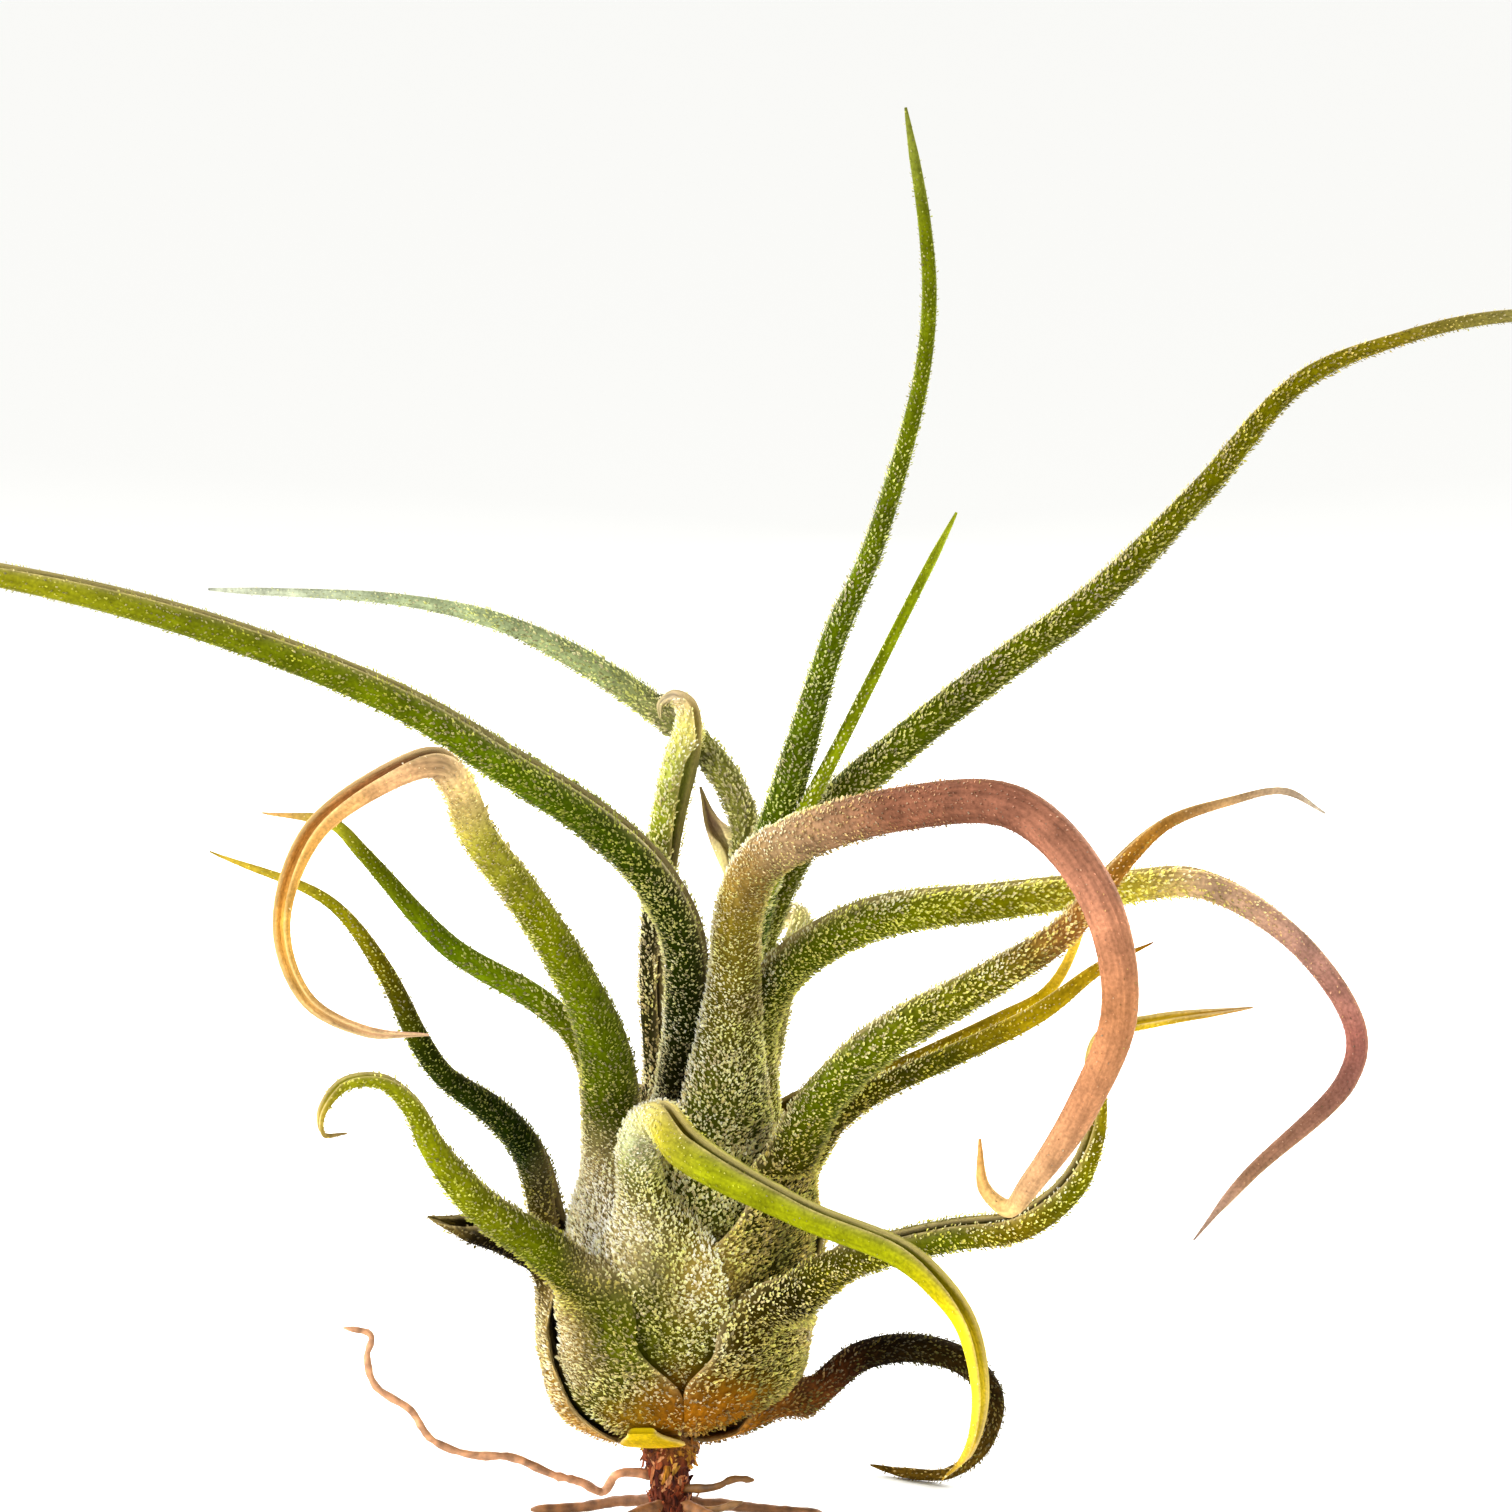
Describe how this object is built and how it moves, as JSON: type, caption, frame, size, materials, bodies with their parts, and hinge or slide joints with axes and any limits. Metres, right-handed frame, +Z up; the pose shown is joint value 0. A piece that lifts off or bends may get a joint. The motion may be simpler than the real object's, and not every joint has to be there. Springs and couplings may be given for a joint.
{
  "type": "air plant",
  "caption": "Air plant: a bulb of overlapping leaf bases with rolled, tapering leaves that curl away from it, on a short rooted stem.",
  "frame": {"origin": "middle of the flat foot of the stem, where it stands", "axes": "+Z up, +X to the plant's right as seen from the front, +Y to its back"},
  "size_m": [0.2191, 0.0999, 0.1501],
  "materials": {
    "stem_and_roots": "rough fibrous bark",
    "leaf_youngest": "matt leaf skin with silvery scales",
    "leaf_upright": "matt leaf skin with silvery scales",
    "leaf_long_right": "matt leaf skin with silvery scales",
    "leaf_long_left": "matt leaf skin with silvery scales",
    "leaf_back_left": "matt leaf skin with silvery scales",
    "leaf_right_arch": "matt leaf skin with silvery scales",
    "leaf_big_loop": "matt leaf skin with silvery scales",
    "leaf_hooked": "matt leaf skin with silvery scales",
    "leaf_back_creased": "matt leaf skin with silvery scales",
    "leaf_left_loop": "matt leaf skin with silvery scales",
    "leaf_right_rising": "matt leaf skin with silvery scales",
    "leaf_right_yellow": "matt leaf skin with silvery scales",
    "leaf_back_short": "matt leaf skin with silvery scales",
    "leaf_front_folded": "matt leaf skin with silvery scales",
    "leaf_right_straight": "matt leaf skin with silvery scales",
    "leaf_low_left": "matt leaf skin with silvery scales",
    "leaf_old_right": "matt leaf skin with silvery scales",
    "leaf_low_right": "matt leaf skin with silvery scales",
    "leaf_curl_left": "matt leaf skin with silvery scales",
    "leaf_left_wavy": "matt leaf skin with silvery scales",
    "leaf_back_right": "matt leaf skin with silvery scales",
    "leaf_blunt_left": "matt leaf skin with silvery scales",
    "leaf_base_remnant": "matt leaf skin with silvery scales",
    "leaf_back_low": "matt leaf skin with silvery scales"
  },
  "bodies": {
    "root": {"stem_and_roots": "stem_and_roots", "leaf_youngest": "leaf_youngest", "leaf_upright": "leaf_upright", "leaf_long_right": "leaf_long_right", "leaf_long_left": "leaf_long_left", "leaf_back_left": "leaf_back_left", "leaf_right_arch": "leaf_right_arch", "leaf_big_loop": "leaf_big_loop", "leaf_hooked": "leaf_hooked", "leaf_back_creased": "leaf_back_creased", "leaf_left_loop": "leaf_left_loop", "leaf_right_rising": "leaf_right_rising", "leaf_right_yellow": "leaf_right_yellow", "leaf_back_short": "leaf_back_short", "leaf_front_folded": "leaf_front_folded", "leaf_right_straight": "leaf_right_straight", "leaf_low_left": "leaf_low_left", "leaf_old_right": "leaf_old_right", "leaf_low_right": "leaf_low_right", "leaf_curl_left": "leaf_curl_left", "leaf_left_wavy": "leaf_left_wavy", "leaf_back_right": "leaf_back_right", "leaf_blunt_left": "leaf_blunt_left", "leaf_base_remnant": "leaf_base_remnant", "leaf_back_low": "leaf_back_low"}
  },
  "joints": []
}
